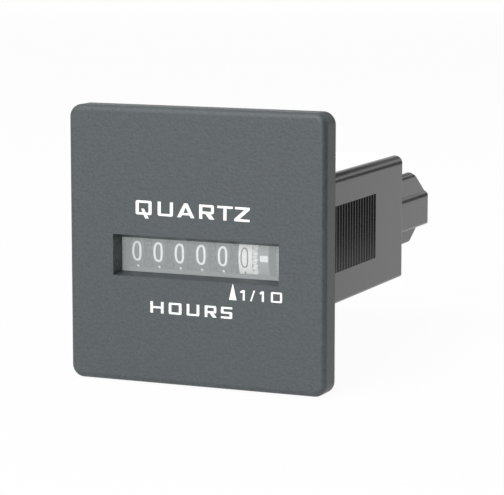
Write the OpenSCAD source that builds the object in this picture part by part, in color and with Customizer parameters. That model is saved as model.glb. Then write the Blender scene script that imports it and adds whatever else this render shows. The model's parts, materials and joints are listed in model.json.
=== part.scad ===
// Panel-mounted hour meter: a square bezel, a ribbed case with a rear terminal shroud,
// and a geared number-wheel counter driven by a small stepping motor.
// The panel's front surface is the plane y = 0. The dial faces -Y, the case runs back along +Y.

/* [Bezel] */
// Width and height of the square bezel
bezel_size = 48; // [46:0.5:60]
// Thickness of the bezel in front of the panel
bezel_depth = 4.4; // [4:0.1:6]
// Thickness of the bezel's front wall
bezel_front_t = 2.0; // [1.4:0.1:2.6]
// Thickness of the skirt that hides the case flange
bezel_skirt_t = 1.6; // [1:0.1:2.2]
// Radius of the bezel's four corners
bezel_corner_r = 2.2; // [2:0.1:5]
// Rounding of the bezel's front edge
bezel_edge_r = 1.0; // [0.3:0.1:1.4]
// Gap around the case flange inside the skirt
flange_gap = 0.15; // [0.05:0.05:0.4]

/* [Window] */
// Height of the window
window_h = 7.2; // [6:0.1:9]
// Height of the window's centre above the middle of the bezel
window_z = -1.8; // [-3:0.1:-1]
// Depth of the recess from the bezel's face to the lens
window_depth = 3.6; // [3:0.1:4.2]
// How far the recess's upper wall slopes in towards the lens
window_slope_top = 1.0; // [0:0.1:1.4]
// How far the recess's lower wall slopes in towards the lens
window_slope_low = 0.3; // [0:0.1:1]
// Wall of the collar around the recess
collar_t = 0.8; // [0.5:0.1:1.2]
// Gap between the collar and the mouth of the case
collar_gap = 0.2; // [0.1:0.05:0.5]
// Thickness of the lens
lens_t = 1.0; // [0.6:0.1:1.6]

/* [Case] */
// Length of the case behind the panel
case_len = 50; // [45:0.2:60]
// Wall thickness of the case
case_wall = 1.4; // [1.2:0.1:2]
// Rounding of the case's upper long edges
case_edge_r = 1.8; // [0.6:0.1:3]
// Rounding of the case's lower long edges
case_low_r = 0.6; // [0.4:0.1:3]
// Rounding of the case's rear edge
case_rear_r = 0.5; // [0.3:0.1:1.4]

/* [Clip ribs] */
// Height of the ribbed field on each side of the case
rib_field_h = 11.8; // [8:0.1:15]
// Distance from the panel to the first rib
rib_field_start = 3.2; // [2:0.1:8]
// Length of the ribbed field
rib_field_len = 32.6; // [20:0.2:38]
// Distance from one rib to the next
rib_pitch = 1.3; // [0.8:0.1:2]
// Depth of the grooves between the ribs
rib_depth = 0.5; // [0.2:0.05:0.7]

/* [Terminal shroud] */
// Length of the shroud behind the case
shroud_len = 16.2; // [14:0.2:20]
// Height of the shroud's central block
shroud_h = 7.0; // [6.6:0.1:9]
// How far the block stands in from each side of the case
shroud_inset = 0.5; // [0.2:0.1:2]
// Rounding of the block's upper edges
shroud_top_r = 1.8; // [1:0.1:2.4]
// Rounding of the block's lower edges
shroud_low_r = 0.6; // [0.3:0.1:1.2]
// Height of the tapered gusset above the middle of the block
gusset_top = 7.3; // [6:0.1:8.5]
// Depth of the gusset below the middle of the block
gusset_low = 5.9; // [5.4:0.1:8.5]
// Length of the gusset's level upper part
gusset_len = 9; // [7:0.2:11]
// Length of the gusset's level lower part
gusset_low_len = 6.6; // [5:0.2:9]
// How far the gusset stands in from each end of the block
gusset_inset = 0.6; // [0.3:0.1:3]
// Rounding of the gusset's upper edges
gusset_r = 1.2; // [0.4:0.1:2]
// Rounding of the gusset's lower edges
gusset_low_r = 0.4; // [0.3:0.1:1.2]
// Width of each terminal socket
socket_w = 9.4; // [8.4:0.1:11]
// Height of each terminal socket
socket_h = 4.6; // [3.6:0.1:5]
// Depth of each terminal socket
socket_depth = 13; // [11:0.5:13.5]
// Wall between the two sockets
socket_wall = 7.4; // [4:0.2:10]

/* [Terminals] */
// Width of a terminal blade
blade_w = 6.3; // [4.8:0.1:6.3]
// Thickness of a terminal blade
blade_t = 0.8; // [0.5:0.1:0.8]
// Length of the blade inside its socket
blade_len = 9.5; // [7:0.5:10.5]
// Length of the solder tail inside the case
tail_len = 6; // [4:0.5:8]
// Width of the solder tail
tail_w = 3.2; // [2:0.2:4.6]

/* [Counter] */
// Radius of the number wheels
wheel_r = 6.8; // [6.4:0.1:7.2]
// Height of the wheel shaft above the middle of the bezel
reading_z = -1.8; // [-2.2:0.1:-1.2]
// Gap between the lens and the wheels
wheel_gap = 0.7; // [0.4:0.1:1.2]
// Distance from one digit to the next
digit_pitch = 4.1; // [3.9:0.05:4.6]
// Width of a wheel's printed rim
rim_w = 2.45; // [2:0.05:2.6]
// Thickness of a wheel's rim
rim_t = 1.0; // [0.7:0.1:1.2]
// Thickness of a wheel's web
web_t = 0.8; // [0.6:0.1:1]
// Radius of the wheel shaft
shaft_r = 0.75; // [0.6:0.05:0.9]
// Radius of the carry pinions' shaft
pinion_shaft_r = 0.6; // [0.4:0.05:0.75]
// Width of the run indicator's rim
indicator_w = 2.0; // [1.6:0.1:2.6]

/* [Drive] */
// Radius of the drive gear's arbor
arbor_r = 0.5; // [0.4:0.05:0.55]
// Width of the fine-toothed gear on the run indicator
fine_w = 0.6; // [0.5:0.05:1]
// Width of the drive gear
drive_w = 0.6; // [0.5:0.05:1]
// Thickness of the bracket that carries the rotor's inner pivot
bracket_t = 0.6; // [0.5:0.05:1]
// Radius of the rotor's magnet
magnet_r = 1.5; // [1.2:0.05:1.6]
// Radius of the rotor's arbor
rotor_arbor_r = 0.3; // [0.2:0.05:0.35]
// Thickness of the stator plate
stator_t = 0.7; // [0.5:0.05:1]
// Width of the stator's arms
arm_w = 2.2; // [1.8:0.1:2.4]
// Thickness of the coil's core
core_t = 1.0; // [0.8:0.1:1.2]
// Width of the coil's core
core_w = 4.0; // [3:0.1:4.4]
// Thickness of the copper winding
winding_t = 1.4; // [0.8:0.1:1.5]
// Wall thickness of the coil bobbin
bobbin_t = 0.6; // [0.4:0.05:0.7]

/* [Frame and board] */
// Thickness of the counter frame's side plates
frame_t = 0.9; // [0.7:0.05:1.2]
// Thickness of the counter frame's floor
floor_t = 0.6; // [0.6:0.05:1.2]
// Drop of the front lip's edge below the wheel shaft
lip_drop = 2.8; // [2.6:0.1:3.2]
// Thickness of the front lip
lip_t = 0.6; // [0.4:0.05:0.8]
// Gap between the counter frame and the case
frame_gap = 0.2; // [0.1:0.05:0.4]
// Thickness of the circuit board
board_t = 1.6; // [1:0.1:1.8]

/* [Board components] */
// Distance from the board's front edge to the crystal and the diode
front_row = 3; // [2.5:0.1:3.5]
// Distance from the board's front edge to the resistor
resistor_row = 7.5; // [6.5:0.1:8.5]
// Distance from the board's front edge to the middle of the timer chip
chip_row = 9; // [8:0.1:10]
// Distance from the board's front edge to the capacitor's can
capacitor_row = 11; // [10.5:0.1:12]
// Distance of the left-hand components from the middle of the case
left_column = 8.5; // [8:0.1:9.5]
// Distance of the right-hand components from the middle of the case
right_column = 1.5; // [1:0.1:2]
// Radius of the crystal's can
crystal_r = 1.05; // [0.9:0.05:1.5]
// Length of the crystal's can
crystal_len = 6.2; // [5:0.1:8]
// Radius of the diode's body
diode_r = 1.35; // [0.8:0.05:1.6]
// Length of the diode's body
diode_len = 5.2; // [4:0.1:6]
// Radius of the resistor's body
resistor_r = 1.25; // [0.8:0.05:1.6]
// Length of the resistor's body
resistor_len = 6.4; // [4:0.1:7]
// Free length of a component's lead on each side of its body
lead_len = 1.6; // [1:0.1:2]
// Radius of the component leads
lead_r = 0.3; // [0.2:0.05:0.4]
// Radius of the capacitor's can
capacitor_r = 3.15; // [2:0.05:3.6]
// Length of the capacitor's can
capacitor_len = 8; // [6:0.5:9]
// Distance between the capacitor's leads
capacitor_pitch = 2.5; // [2:0.1:3]
// Width of the timer chip's body
chip_w = 5; // [4:0.1:6]
// Depth of the timer chip's body
chip_d = 4; // [3:0.1:5]
// Height of the timer chip's body
chip_h = 1.5; // [1:0.1:2]

/* [Hidden] */
$fn = 64;
eps = 0.01;
// Radial clearance of every running fit
run_clear = 0.03;
// Clearance around fixed pieces that slide into a slot or a hole
slot_clear = 0.05;
// Clearance beside turning pieces
side_clear = 0.15;
// Extra distance between the axes of meshing gears
mesh_gap = 0.03;

// Tooth counts: two gear teeth per pinion gap turn a wheel by one digit
carry_teeth = 20;
pinion_teeth = 8;
drive_teeth = 40;
fine_teeth = 72;
digit_wheels = 5;
addendum = 0.85;
dedendum = 1.15;
pressure_angle = 20;
tooth_share = 0.85;

// Modules follow the wheel radius, so the gears stay inside the printed rims
carry_step = 0.6;
drive_step = 0.06;
fine_step = 0.9;
carry_module = (wheel_r - carry_step) / (carry_teeth / 2 + addendum);
drive_module = (wheel_r - drive_step) / (drive_teeth / 2 + addendum);
fine_module = (wheel_r - fine_step) / (fine_teeth / 2 + addendum);

function pitch_r(teeth, module_size) = teeth * module_size / 2;
function tip_r(teeth, module_size) = pitch_r(teeth, module_size) + addendum * module_size;
function root_r(teeth, module_size) = pitch_r(teeth, module_size) - dedendum * module_size;
function mesh_dist(teeth, module_size) = pitch_r(teeth + pinion_teeth, module_size) + mesh_gap;

// Places along Y, from the bezel's face to the rear of the case
front_y = -bezel_depth;
flange_t = bezel_depth - bezel_front_t;
lens_y = front_y + window_depth;
axle_y = lens_y + lens_t + wheel_gap + wheel_r;
axle_z = reading_z;
inner_rear_y = case_len - case_wall;
shroud_rear_y = case_len + shroud_len;
socket_floor_y = shroud_rear_y - socket_depth;
frame_front_y = lens_y + lens_t + 2 * side_clear;

// Axes of the shafts, as [y, z], set round the wheel shaft
function round_axle(dist, angle) = [axle_y + dist * cos(angle), axle_z + dist * sin(angle)];
axle = [axle_y, axle_z];
carry_angle = 95;
drive_angle = 25;
rotor_angle = -40;
pinion_axis = round_axle(mesh_dist(carry_teeth, carry_module), carry_angle);
arbor_axis = round_axle(mesh_dist(drive_teeth, drive_module), drive_angle);
rotor_axis = round_axle(mesh_dist(fine_teeth, fine_module), rotor_angle);

// Corners of the pocket behind the bezel and of the flange in it
pocket_r = max(0.2, bezel_corner_r - bezel_skirt_t);

// The counter's width sets the frame, the case and the window
step_gap = 0.2;
boss_t = 0.7;
carry_w = 0.5;
gear_w = digit_pitch - rim_w - carry_w - step_gap;
end_play = 0.06;
hub_left = rim_w / 2 + carry_w + 2 * end_play;
hub_right = digit_pitch - hub_left - end_play;
pinion_zone_w = drive_w + step_gap;
drive_side_w = indicator_w + bracket_t + fine_w + pinion_zone_w + stator_t + boss_t + 5 * step_gap - 0.1;
frame_half = ((digit_wheels + 1) * digit_pitch + drive_side_w) / 2;
frame_outer = frame_half + frame_t;
case_in_w = 2 * (frame_outer + frame_gap);
wheel_floor_gap = 0.7;
floor_z = axle_z - wheel_r - wheel_floor_gap;
case_in_h = 2 * (frame_gap + floor_t - floor_z);
case_w = case_in_w + 2 * case_wall;
case_h = case_in_h + 2 * case_wall;
case_in_r = case_wall / 2;
window_w = case_in_w - 2 * (collar_t + collar_gap);
plate_top = case_in_h / 2 - case_in_r + 0.1;

// Places along X
function digit_x(i) = -frame_half + side_clear + hub_left + i * digit_pitch;
tenths_x = digit_x(digit_wheels);
tenths_gear_x = tenths_x + rim_w / 2;
indicator_x = tenths_gear_x + gear_w + step_gap;
bracket_x = indicator_x + indicator_w + step_gap;
fine_x = bracket_x + bracket_t + step_gap;
pinion_zone_x = fine_x + fine_w + step_gap;
drive_x = pinion_zone_x + step_gap / 2;
stator_x = pinion_zone_x + pinion_zone_w + step_gap / 2;
core_x = stator_x - core_t;

// Number wheel details
hub_r = 1.6;
carry_ring_t = 0.8;
carry_tooth_h = 0.55;
carry_tip_r = mesh_dist(carry_teeth, carry_module) - tip_r(pinion_teeth, carry_module) - side_clear;
carry_ring_r = carry_tip_r - carry_tooth_h;
carry_pinion_w = digit_pitch - rim_w - 2 * end_play;

// Shares of a rib's pitch: the bottom of its groove and its flat crest
rib_valley = 0.25;
rib_crest = 0.12;

// Length of the gusset's lower slope for each unit that it rises
gusset_run = 1.7;

// Drive details
indicator_hub_r = 1.8;
sleeve_clear = 0.08;
indicator_sleeve_r = mesh_dist(drive_teeth, drive_module) - tip_r(drive_teeth, drive_module) - sleeve_clear;
drive_sleeve_r = mesh_dist(drive_teeth, drive_module) - wheel_r - side_clear;

// Motor details
pole_half = 2.7;
pole_len = 3.2;
slit = 1.0;
rotor_hole_r = magnet_r + 0.3;
bobbin_half_y = core_w / 2 + slot_clear + bobbin_t + winding_t + 0.2;
bobbin_half_x = core_t / 2 + slot_clear + bobbin_t + winding_t + 0.1;
drive_reach = arbor_axis[0] + tip_r(drive_teeth, drive_module);
leg_y = drive_reach - 2;
coil_y = leg_y + arm_w + 0.4 + bobbin_half_y;
arm_end_y = coil_y + arm_w;
pole_low = rotor_axis[1] - pole_half;
pole_high = rotor_axis[1] + pole_half;
arm_top = plate_top - 0.9;
bobbin_low = pole_low + arm_w + 0.4;
bobbin_high = arm_top - arm_w - 0.4;
screw_z = [pole_low + arm_w / 2, arm_top - arm_w / 2];
screw_r = 0.7;
screw_head_r = 1.3;
screw_head_t = 0.9;

// Frame and board places
left_plate_end = axle_y + wheel_r + 3;
right_plate_end = coil_y + bobbin_half_y + 1.6;
bridge_y = pinion_axis[0] + tip_r(pinion_teeth, carry_module) + 0.3;
bridge_w = 2.4;
bridge_t = 0.65;
board_top = -blade_t / 2;
board_front_y = left_plate_end + 0.5;
board_rear_y = inner_rear_y - 1.9;
board_step_y = right_plate_end + 3;
board_right = fine_x - 4.4;
board_half = case_in_w / 2 - frame_gap;
rail_w = 1.2;
rail_t = 0.8;
socket_x = (socket_w + socket_wall) / 2;

// Puts a solid that was drawn along Z on an axis along X: its x and y become Y and Z
module along_x(x, axis = [0, 0]) {
    translate([x, axis[0], axis[1]]) rotate([90, 0, 90]) children();
}

// Extrudes an outline drawn as (x, z) from y to y + len
module along_y(y, len) {
    translate([0, y + len, 0]) rotate([90, 0, 0]) linear_extrude(len) children();
}

function unit(v) = v / norm(v);

// Convex outline with a true arc at each corner; every point is [x, y, corner radius]
module rounded_outline(points) {
    count = len(points);
    at = [for (p = points) [p[0], p[1]]];
    back = [for (i = [0:count - 1]) unit(at[(i + count - 1) % count] - at[i])];
    ahead = [for (i = [0:count - 1]) unit(at[(i + 1) % count] - at[i])];
    half = [for (i = [0:count - 1]) acos(back[i] * ahead[i]) / 2];
    polygon([
        for (i = [0:count - 1], way = points[i][2] > 0 ? [back[i], ahead[i]] : [[0, 0]])
            at[i] + way * points[i][2] / tan(half[i])
    ]);
    for (i = [0:count - 1])
        if (points[i][2] > 0)
            translate(at[i] + unit(back[i] + ahead[i]) * points[i][2] / sin(half[i])) circle(points[i][2]);
}

module rounded_box_outline(w, h, r) {
    rounded_outline([[-w / 2, -h / 2, r], [w / 2, -h / 2, r], [w / 2, h / 2, r], [-w / 2, h / 2, r]]);
}

// Edge profile of a slab of width w and thickness t whose far edge is rounded
module soft_edge(w, t, edge_r) {
    translate([-w / 2, 0]) square([w, t - edge_r]);
    translate([-w / 2 + edge_r, 0]) square([w - 2 * edge_r, t]);
    for (side = [-1, 1]) translate([side * (w / 2 - edge_r), t - edge_r]) circle(edge_r);
}

// Slab along Z with round corners, its edge at z = t rounded all the way round
module soft_slab(w, h, t, corner_r, edge_r) {
    translate([0, h / 2 - corner_r, 0]) rotate([90, 0, 0])
        linear_extrude(h - 2 * corner_r) soft_edge(w, t, edge_r);
    translate([-w / 2 + corner_r, 0, 0]) rotate([90, 0, 90])
        linear_extrude(w - 2 * corner_r) soft_edge(h, t, edge_r);
    for (x = [-1, 1], y = [-1, 1])
        translate([x * (w / 2 - corner_r), y * (h / 2 - corner_r), 0])
            rotate_extrude() intersection() {
                soft_edge(2 * corner_r, t, edge_r);
                square([corner_r, t]);
            }
}

// Involute tooth form
function involute(angle) = tan(angle) * 180 / PI - angle;
function tooth_half(teeth, module_size, r) =
    let (base = pitch_r(teeth, module_size) * cos(pressure_angle))
    90 / teeth * tooth_share + involute(pressure_angle) - (r > base ? involute(acos(base / r)) : 0);
function flank_radii(teeth, module_size) =
    let (
        root = root_r(teeth, module_size),
        tip = tip_r(teeth, module_size),
        start = max(root, pitch_r(teeth, module_size) * cos(pressure_angle))
    )
    concat(start > root ? [root] : [], [start, (start + tip) / 2, tip]);
function tooth_points(teeth, module_size, angle) =
    let (radii = flank_radii(teeth, module_size), last = len(radii) - 1)
    [
        for (side = [-1, 1], k = [0:last])
            let (r = radii[side < 0 ? k : last - k], a = angle + side * tooth_half(teeth, module_size, r))
            r * [cos(a), sin(a)]
    ];

// Gear outline with the middle of one tooth at the given angle
module gear_outline(teeth, module_size, angle) {
    polygon([for (i = [0:teeth - 1]) each tooth_points(teeth, module_size, angle + 360 * i / teeth)]);
}

// Outline with only every second tooth, as on the carry side of a carry pinion
module half_toothed_outline(teeth, module_size, angle) {
    root = root_r(teeth, module_size);
    polygon([
        for (i = [0:teeth - 1])
            let (a = angle + 360 * i / teeth)
            each i % 2 == 0
                ? tooth_points(teeth, module_size, a)
                : [for (side = [-1:1]) root * [cos(a + side * 90 / teeth), sin(a + side * 90 / teeth)]]
    ]);
}

// Angle of a pinion's tooth that leaves a gap facing the gear, when the pinion lies at this angle
function pinion_turn(angle) = angle + 180 + 180 / pinion_teeth;

// Space of the recess in front of the lens: its upper and lower walls slope in towards the lens
module recess() {
    top = window_z + window_h / 2;
    low = window_z - window_h / 2;
    along_x(-window_w / 2) linear_extrude(window_w) polygon([
        [front_y - 1, low], [front_y, low],
        [lens_y, low + window_slope_low], [lens_y + 1, low + window_slope_low],
        [lens_y + 1, top - window_slope_top], [lens_y, top - window_slope_top],
        [front_y, top], [front_y - 1, top]
    ]);
}

// Bezel with its recessed window and the skirt that hides the case flange
module bezel() {
    pocket_w = bezel_size - 2 * bezel_skirt_t;
    collar_len = window_depth - bezel_front_t;
    color("#3a3d3e") difference() {
        union() {
            difference() {
                rotate([90, 0, 0])
                    soft_slab(bezel_size, bezel_size, bezel_depth, bezel_corner_r, bezel_edge_r);
                along_y(-flange_t, flange_t + 1) rounded_box_outline(pocket_w, pocket_w, pocket_r);
            }
            along_y(-flange_t - eps, collar_len + eps) translate([0, window_z])
                square([window_w + 2 * collar_t, window_h + 2 * collar_t], center = true);
        }
        recess();
    }
}

// Clear lens on the rear rim of the collar
module lens() {
    color("#c8d0d2", 0.4)
        along_y(lens_y, lens_t) translate([0, window_z])
            rounded_box_outline(window_w + 2 * collar_t, window_h + 2 * collar_t, collar_t / 2);
}

// Saw-toothed grooves that a clip's pawl climbs over, cut into one side of the case
module rib_grooves() {
    ribs = floor(rib_field_len / rib_pitch);
    translate([case_w / 2, rib_field_start, -rib_field_h / 2]) linear_extrude(rib_field_h)
        polygon(concat(
            [[1, 0]],
            [
                for (i = [0:ribs - 1], p = [[0, 0], [-rib_depth, rib_valley], [0, 1 - rib_crest]])
                    [p[0], (i + p[1]) * rib_pitch]
            ],
            [[0, ribs * rib_pitch], [1, ribs * rib_pitch]]
        ));
}

// Block along Y, centred on x = 0 and z = 0, with rounded upper and lower long edges and a rounded rear
module soft_block(w, h, y, len, top_r, low_r, rear_top_r, rear_low_r, rear_side_r) {
    top = h / 2;
    rear = y + len;
    intersection() {
        along_y(y, len) rounded_outline([
            [-w / 2, -top, low_r], [w / 2, -top, low_r], [w / 2, top, top_r], [-w / 2, top, top_r]
        ]);
        along_x(-w / 2) linear_extrude(w) rounded_outline([
            [y, -top, 0], [rear, -top, rear_low_r], [rear, top, rear_top_r], [y, top, 0]
        ]);
        translate([0, 0, -top]) linear_extrude(h) rounded_outline([
            [-w / 2, y, 0], [w / 2, y, 0], [w / 2, rear, rear_side_r], [-w / 2, rear, rear_side_r]
        ]);
    }
}

// Central block of the terminal shroud
module shroud_block() {
    soft_block(case_w - 2 * shroud_inset, shroud_h, inner_rear_y, case_wall + shroud_len,
        shroud_top_r, shroud_low_r, shroud_top_r, shroud_low_r, shroud_low_r);
}

// Tapered gusset that braces the block against the rear wall
module shroud_gusset() {
    w = case_w - 2 * (shroud_inset + gusset_inset);
    level_y = case_len + gusset_len;
    low_level_y = case_len + gusset_low_len;
    nose = shroud_h / 2 - shroud_low_r;
    low_end_y = low_level_y + gusset_run * (gusset_low - nose);
    intersection() {
        along_x(-w / 2) linear_extrude(w) rounded_outline([
            [inner_rear_y, -gusset_low, 0], [low_level_y, -gusset_low, gusset_low_r], [low_end_y, -nose, 0],
            [shroud_rear_y - shroud_low_r, nose, 0], [level_y, gusset_top, gusset_r],
            [inner_rear_y, gusset_top, 0]
        ]);
        along_y(inner_rear_y, case_wall + shroud_len) rounded_outline([
            [-w / 2, -gusset_low, gusset_low_r], [w / 2, -gusset_low, gusset_low_r],
            [w / 2, gusset_top, gusset_r], [-w / 2, gusset_top, gusset_r]
        ]);
    }
}

// Rails that hold one edge of the circuit board, on the wall at this side
module board_rails(side, start_y) {
    for (z = [board_top - board_t - slot_clear - rail_t, board_top + slot_clear])
        translate([side * (case_in_w - rail_w) / 2, (start_y + inner_rear_y) / 2, z + rail_t / 2])
            cube([rail_w, inner_rear_y - start_y, rail_t], center = true);
}

// Case: a deep tub with a flange, ribbed sides and the terminal shroud moulded on its rear
module case() {
    flange_w = bezel_size - 2 * (bezel_skirt_t + flange_gap);
    color("#1d1e1f") {
        difference() {
            union() {
                soft_block(case_w, case_h, 0, case_len,
                    case_edge_r, case_low_r, case_rear_r, case_rear_r, case_rear_r);
                along_y(-flange_t, flange_t)
                    rounded_box_outline(flange_w, flange_w, pocket_r);
                shroud_block();
                shroud_gusset();
            }
            along_y(-flange_t - 1, inner_rear_y + flange_t + 1)
                rounded_box_outline(case_in_w, case_in_h, case_in_r);
            for (side = [0, 1]) mirror([side, 0, 0]) {
                rib_grooves();
                translate([socket_x, 0, 0]) {
                    along_y(socket_floor_y, socket_depth + 1)
                        square([socket_w, socket_h], center = true);
                    along_y(inner_rear_y - 1, socket_floor_y - inner_rear_y + 2)
                        square([blade_w + 2 * slot_clear, blade_t + 2 * slot_clear], center = true);
                }
            }
        }
        board_rails(-1, board_front_y + 0.5);
        board_rails(1, board_step_y + 0.5);
    }
}

// Hole in a side plate for a shaft on this axis
module pivot_hole(x, axis, r) {
    along_x(x - 1, axis) cylinder(h = frame_t + 2, r = r + run_clear);
}

// Counter frame: two side plates on a floor, tied by a bridge and a front lip, with the rotor's bracket
module counter_frame() {
    coil_window_h = bobbin_high - bobbin_low + 0.4;
    floor_half = frame_outer - case_in_r / 2;
    color("#4a4c4d") difference() {
        union() {
            along_x(-frame_outer) linear_extrude(frame_t) rounded_outline([
                [frame_front_y, -plate_top, 0], [left_plate_end, -plate_top, 0],
                [left_plate_end, plate_top, 2], [frame_front_y, plate_top, 2]
            ]);
            along_x(frame_half) linear_extrude(frame_t) difference() {
                rounded_outline([
                    [frame_front_y, -plate_top, 0], [right_plate_end, -plate_top, 1],
                    [right_plate_end, plate_top, 1], [frame_front_y, plate_top, 2]
                ]);
                translate([coil_y - bobbin_half_y - 0.2, bobbin_low - 0.2])
                    square([2 * bobbin_half_y + 0.4, coil_window_h]);
            }
            translate([-floor_half, frame_front_y, floor_z - floor_t])
                cube([2 * floor_half, left_plate_end - frame_front_y, floor_t]);
            translate([-frame_half - eps, frame_front_y, floor_z - eps])
                cube([2 * (frame_half + eps), lip_t, axle_z - lip_drop - floor_z + eps]);
            translate([-frame_half - eps, bridge_y, plate_top - bridge_t])
                cube([2 * (frame_half + eps), bridge_w, bridge_t]);
            along_x(bracket_x) linear_extrude(bracket_t) rounded_outline([
                [rotor_axis[0] - 1.5, floor_z - eps, 0], [rotor_axis[0] + 1.5, floor_z - eps, 0],
                [rotor_axis[0] + 1.5, rotor_axis[1] + 1.3, 1.2],
                [rotor_axis[0] - 1.5, rotor_axis[1] + 1.3, 1.2]
            ]);
            for (z = screw_z) along_x(stator_x + stator_t, [coil_y, z])
                cylinder(h = frame_half - stator_x - stator_t + eps, r = arm_w / 2);
        }
        for (x = [-frame_outer, frame_half]) {
            pivot_hole(x, axle, shaft_r);
            pivot_hole(x, pinion_axis, pinion_shaft_r);
            pivot_hole(x, arbor_axis, arbor_r);
        }
        pivot_hole(frame_half, rotor_axis, rotor_arbor_r);
        along_x(bracket_x - 1, rotor_axis) cylinder(h = bracket_t + 2, r = rotor_arbor_r + run_clear);
        for (z = screw_z) along_x(stator_x, [coil_y, z])
            cylinder(h = frame_outer - stator_x + 1, r = screw_r + run_clear);
    }
}

// Fixed steel shaft held in both side plates
module fixed_shaft(axis, r) {
    color("#b9bcbf") along_x(-frame_outer, axis) cylinder(h = 2 * frame_outer, r = r);
}

module wheel_shaft() { fixed_shaft(axle, shaft_r); }

module pinion_shaft() { fixed_shaft(pinion_axis, pinion_shaft_r); }

// Turned part of a number wheel: rim, web, hub and carry ring, with x = 0 at the rim's middle
module wheel_blank() {
    bore = shaft_r + run_clear;
    rotate_extrude() {
        translate([wheel_r - rim_t, -rim_w / 2]) square([rim_t, rim_w]);
        translate([bore, rim_w / 2 - web_t]) square([wheel_r - bore, web_t]);
        translate([bore, -hub_left]) square([hub_r - bore, hub_left + hub_right]);
        translate([carry_ring_r - carry_ring_t, -rim_w / 2 - carry_w])
            square([carry_ring_t, rim_w + carry_w]);
    }
}

// The two carry teeth on the left end of a wheel's carry ring
module carry_pair() {
    for (a = [-8, 8]) rotate(180 + a)
        translate([carry_ring_r - carry_ring_t / 2, -0.2, -rim_w / 2 - carry_w])
            cube([carry_tip_r - carry_ring_r + carry_ring_t / 2, 0.4, carry_w]);
}

// Gear ring on the right-hand side of a wheel
module wheel_gear(teeth, module_size, angle) {
    translate([0, 0, rim_w / 2 - eps]) linear_extrude(gear_w + eps) difference() {
        gear_outline(teeth, module_size, angle);
        circle(root_r(teeth, module_size) - 1);
    }
}

module number_wheel(i) {
    color("#161718") along_x(digit_x(i - 1), axle) {
        wheel_blank();
        carry_pair();
        wheel_gear(carry_teeth, carry_module, carry_angle);
    }
}

// Tenths wheel: the same blank in white, with the drive gear ring beside its rim
module tenths_wheel() {
    color("#f0f0ec") along_x(tenths_x, axle) {
        wheel_blank();
        carry_pair();
        wheel_gear(drive_teeth, drive_module, drive_angle);
    }
}

// Run indicator: a drum that turns beside the tenths wheel, with its fine gear and its pinion
module run_indicator() {
    bore = shaft_r + run_clear;
    gear_at = fine_x - indicator_x;
    pinion_at = pinion_zone_x - indicator_x;
    end_at = frame_half - side_clear - indicator_x;
    color("#8f9394") along_x(indicator_x, axle) difference() {
        union() {
            rotate_extrude() {
                translate([wheel_r - rim_t, 0]) square([rim_t, indicator_w]);
                translate([bore, indicator_w - web_t]) square([wheel_r - bore, web_t]);
                translate([bore, 0]) square([indicator_hub_r - bore, pinion_at]);
                translate([bore, 0]) square([indicator_sleeve_r - bore, end_at]);
            }
            translate([0, 0, gear_at]) linear_extrude(fine_w)
                gear_outline(fine_teeth, fine_module, rotor_angle);
            translate([0, 0, pinion_at - eps]) linear_extrude(pinion_zone_w)
                gear_outline(pinion_teeth, drive_module, drive_angle);
        }
        translate([0, 0, -1]) cylinder(h = end_at + 2, r = bore);
    }
}

// Carry pinion between wheel i and the next wheel to its right
module carry_pinion(i) {
    turn = pinion_turn(carry_angle);
    color("#d8d2c0") along_x(digit_x(i - 1) + rim_w / 2 + end_play, pinion_axis) difference() {
        union() {
            linear_extrude(gear_w) gear_outline(pinion_teeth, carry_module, turn);
            translate([0, 0, gear_w - eps]) linear_extrude(carry_pinion_w - gear_w + eps)
                half_toothed_outline(pinion_teeth, carry_module, turn);
        }
        translate([0, 0, -1]) cylinder(h = carry_pinion_w + 2, r = pinion_shaft_r + run_clear);
    }
}

// Arbor that turns in both side plates
module drive_arbor() {
    color("#b9bcbf") along_x(-frame_outer, arbor_axis) cylinder(h = 2 * frame_outer, r = arbor_r);
}

// Drive gear: takes the run indicator's pinion and drives the tenths wheel through its own pinion
module drive_gear() {
    pinion_x = tenths_gear_x + end_play;
    pinion_w = indicator_x - pinion_x - end_play;
    color("#e6e2d6") along_x(pinion_x, arbor_axis) difference() {
        union() {
            linear_extrude(pinion_w) gear_outline(pinion_teeth, drive_module, pinion_turn(drive_angle));
            cylinder(h = drive_x - pinion_x + eps, r = drive_sleeve_r);
            translate([0, 0, drive_x - pinion_x]) linear_extrude(drive_w)
                gear_outline(drive_teeth, drive_module, drive_angle + 180 + 180 / drive_teeth);
        }
        translate([0, 0, -1]) cylinder(h = drive_x - pinion_x + drive_w + 2, r = arbor_r + 0.01);
    }
}

// Rotor: a steel arbor with its pinion, and the ring magnet pressed on it
module rotor_pinion() {
    color("#c3c6c8") {
        along_x(bracket_x, rotor_axis) cylinder(h = frame_outer - bracket_x, r = rotor_arbor_r);
        along_x(fine_x - 0.05, rotor_axis) linear_extrude(fine_w + 0.1)
            gear_outline(pinion_teeth, fine_module, pinion_turn(rotor_angle));
    }
}

module rotor_magnet() {
    color("#5a5c60") along_x(stator_x - 0.05, rotor_axis) difference() {
        cylinder(h = stator_t + 0.1, r = magnet_r);
        translate([0, 0, -1]) cylinder(h = stator_t + 2, r = rotor_arbor_r + 0.01);
    }
}

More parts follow.
